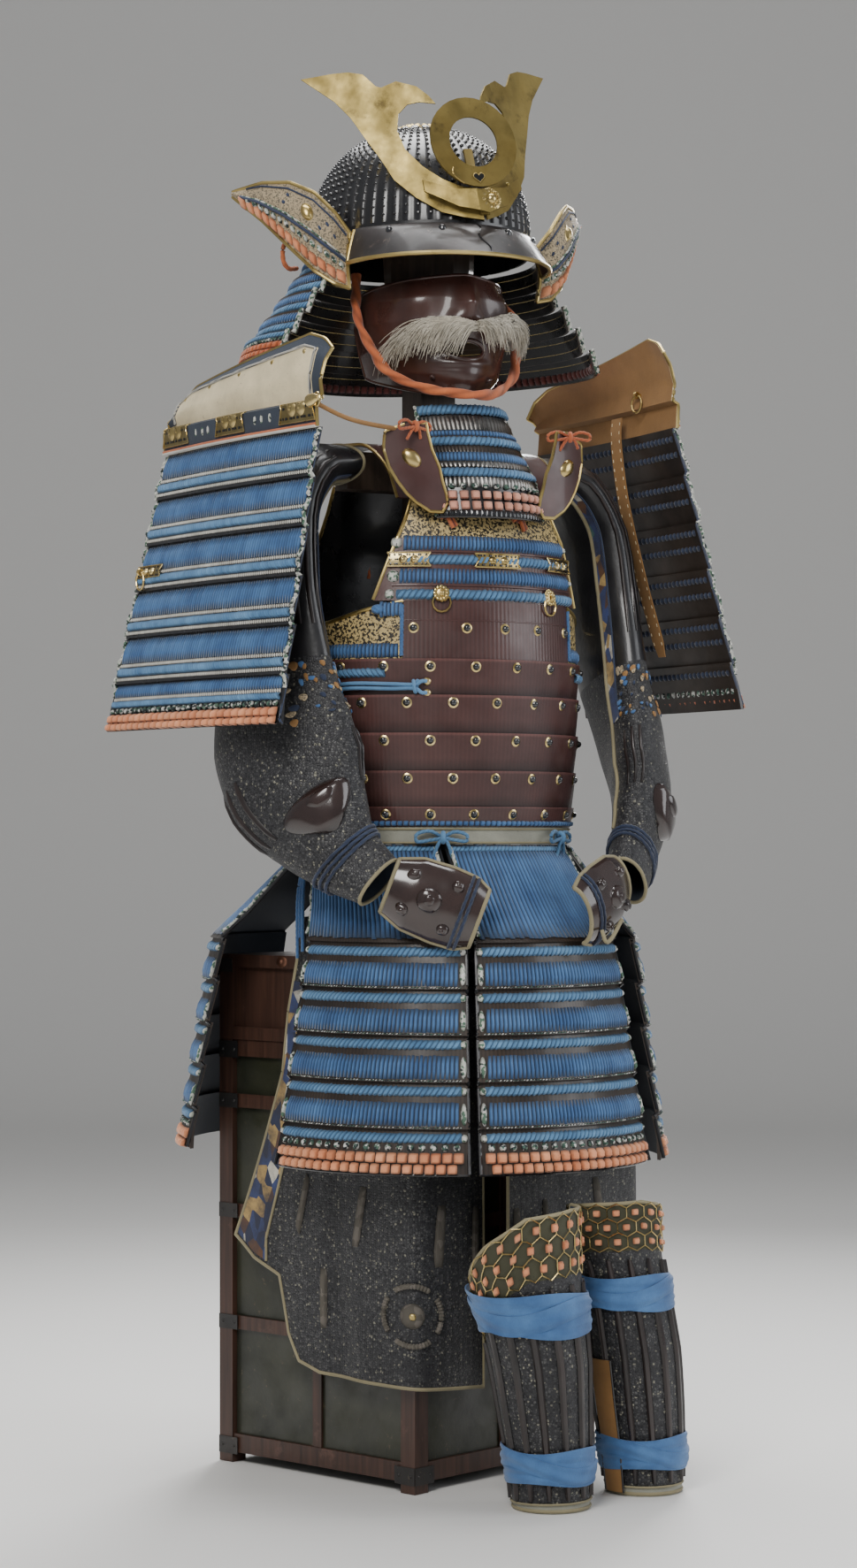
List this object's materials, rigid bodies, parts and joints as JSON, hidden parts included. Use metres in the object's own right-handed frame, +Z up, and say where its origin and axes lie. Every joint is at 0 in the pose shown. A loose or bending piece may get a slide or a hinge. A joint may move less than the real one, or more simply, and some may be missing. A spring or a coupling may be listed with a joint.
{
  "type": "samurai armour on its storage box",
  "caption": "Laced plate armour with crested helmet, face mask, sleeves, skirt and apron, set out on a stand over its storage box, with shin guards standing before it.",
  "frame": {"origin": "middle of the footprint, on the floor", "axes": "+Z up, the armour faces -Y and its left side is +X; the box under it is turned 17.5 degrees about +Z"},
  "size_m": [0.6756, 0.6328, 1.6485],
  "materials": {
    "box_panel": "worn dark green lacquer",
    "box_wood": "worn red-brown lacquer",
    "stand_wood": "plain",
    "black_lacquer": "gloss black lacquer on iron",
    "russet_lacquer": "semi-gloss russet lacquer on iron and rawhide",
    "patterned_leather": "matt printed leather",
    "tan_leather": "smoked leather",
    "gold_leather": "gold leaf speckled leather",
    "brass": "gilt, softly worn",
    "blue_lacing": "silk braid laced over lacquered lames",
    "mail_cloth": "iron mail sewn on cloth",
    "hair": "white hair",
    "orange_cloth": "twisted cloth cord"
  },
  "bodies": {
    "armour_set": {"helmet_bowl": "black_lacquer", "visor": "russet_lacquer", "turnback_right": "patterned_leather", "turnback_left": "patterned_leather", "neck_guard_1": "blue_lacing", "neck_guard_2": "blue_lacing", "neck_guard_3": "blue_lacing", "neck_guard_4": "blue_lacing", "neck_guard_5": "blue_lacing", "crest_horns": "brass", "crest_disc": "brass", "crest_base": "brass", "mask": "russet_lacquer", "moustache": "hair", "chin_cord": "orange_cloth", "box_body": "box_panel", "box_frame": "box_wood", "box_lid": "box_wood", "stand": "stand_wood", "throat_guard": "blue_lacing", "chest_plate": "gold_leather", "chest_front": "blue_lacing", "front_lame": "russet_lacquer", "back_plate": "black_lacquer", "side_right": "gold_leather", "side_left": "gold_leather", "cuirass_lame_1": "russet_lacquer", "cuirass_lame_2": "russet_lacquer", "cuirass_lame_3": "russet_lacquer", "cuirass_lame_4": "russet_lacquer", "cuirass_lame_5": "russet_lacquer", "hem_band": "patterned_leather", "strap_right": "russet_lacquer", "strap_left": "russet_lacquer", "chest_pad_right": "russet_lacquer", "chest_pad_left": "russet_lacquer", "shoulder_cap_right": "patterned_leather", "shoulder_guard_right": "blue_lacing", "shoulder_cap_left": "patterned_leather", "shoulder_guard_left": "blue_lacing", "hanging_strap": "tan_leather", "sleeve_right": "mail_cloth", "sleeve_left": "mail_cloth", "hand_guard_right": "black_lacquer", "hand_guard_left": "black_lacquer", "skirt_1": "blue_lacing", "skirt_2": "blue_lacing", "skirt_3": "blue_lacing", "skirt_4": "blue_lacing", "skirt_5": "blue_lacing", "apron_waistband": "mail_cloth", "apron_right": "mail_cloth", "apron_left": "mail_cloth", "shin_guard_right": "mail_cloth", "shin_guard_left": "mail_cloth"},
    "chest_ring_right": {"chest_ring_right": "brass"},
    "chest_ring_left": {"chest_ring_left": "brass"},
    "shoulder_ring_right": {"shoulder_ring_right": "brass"},
    "shoulder_ring_left": {"shoulder_ring_left": "brass"}
  },
  "joints": [
    {"name": "chest_ring_right_swing", "type": "hinge", "parent": "armour_set", "child": "chest_ring_right", "pos_m": [-0.08041, -0.14581, 1.021], "axis": [-0.9304, 0.3665, 0], "range_deg": [0, 110]},
    {"name": "chest_ring_left_swing", "type": "hinge", "parent": "armour_set", "child": "chest_ring_left", "pos_m": [0.0648, -0.14581, 1.021], "axis": [-0.9304, -0.3665, 0], "range_deg": [0, 110]},
    {"name": "shoulder_ring_right_swing", "type": "hinge", "parent": "armour_set", "child": "shoulder_ring_right", "pos_m": [-0.30682, 0.1749, 1.058], "axis": [0, 1, 0], "range_deg": [0, 110]},
    {"name": "shoulder_ring_left_swing", "type": "hinge", "parent": "armour_set", "child": "shoulder_ring_left", "pos_m": [0.23745, -0.06563, 1.276], "axis": [0, 1, 0], "range_deg": [0, 110]}
  ]
}
